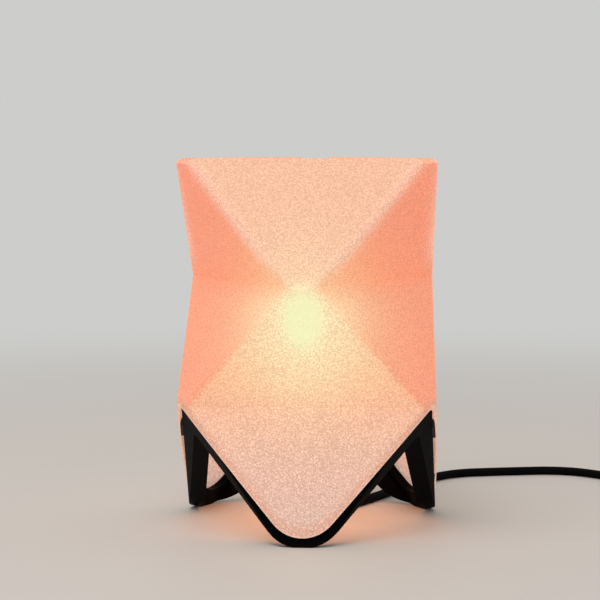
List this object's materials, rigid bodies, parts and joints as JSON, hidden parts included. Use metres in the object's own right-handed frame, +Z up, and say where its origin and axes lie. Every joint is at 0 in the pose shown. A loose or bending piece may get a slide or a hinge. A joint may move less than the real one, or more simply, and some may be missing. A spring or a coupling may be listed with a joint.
{
  "type": "table lamp",
  "caption": "Table lamp: a tall folded shade of pebbled translucent coral sheet on a black zigzag frame with pointed feet, lit by a small opal bulb, with a black cord, inline switch and plug",
  "frame": {"origin": "on the table under the lamp's axis, midway between the three feet", "axes": "+Z up along the lamp's axis, one foot towards -Y, the cord leaves towards +X and +Y"},
  "size_m": [0.4891, 0.3004, 0.255],
  "materials": {
    "shade": "fine pebbled translucent sheet",
    "frame_black": "satin black coat",
    "pad_black": "matte black foam",
    "bracket_white": "white powder coat",
    "zinc_steel": "bright zinc",
    "holder_white": "moulded, slightly glossy",
    "holder_ceramic": "unglazed white",
    "brass_contact": "bright pressed brass",
    "bulb_opal": "opal, lit warm",
    "cap_nickel": "nickel plated",
    "insulator_black": "glassy black",
    "cord_black": "matte black sleeve",
    "switch_black": "fine spark texture",
    "pin_brass": "nickel plated pins"
  },
  "bodies": {
    "lamp": {"shade_sheet": "shade", "foot_frame": "frame_black", "sheet_tabs": "pad_black", "bracket": "bracket_white", "bracket_screws": "zinc_steel", "lampholder_body": "holder_white", "lampholder_cap": "holder_white", "lampholder_insert": "holder_ceramic", "lampholder_screw_shell": "brass_contact", "lampholder_contact": "brass_contact", "lampholder_collar": "holder_white", "cord_grip": "switch_black", "cord_free": "cord_black", "cord_coil": "cord_black", "cord_link": "cord_black", "switch_housing_top": "switch_black", "switch_housing_bottom": "switch_black", "switch_screws": "zinc_steel", "plug_body": "switch_black", "plug_pins": "pin_brass"},
    "bulb": {"bulb_globe": "bulb_opal", "bulb_cap": "cap_nickel", "bulb_insulator": "insulator_black", "bulb_tip": "cap_nickel"},
    "rocker": {"switch_rocker": "switch_black"}
  },
  "joints": [
    {"name": "bulb_lift", "type": "slide", "parent": "lamp", "child": "bulb", "axis": [0, 0, 1], "range_m": [0, 0.04]},
    {"name": "switch_rock", "type": "hinge", "parent": "lamp", "child": "rocker", "pos_m": [0.31079, 0.07321, 0.017], "axis": [0.7071, 0.7071, 0], "range_deg": [-18, 0]}
  ]
}
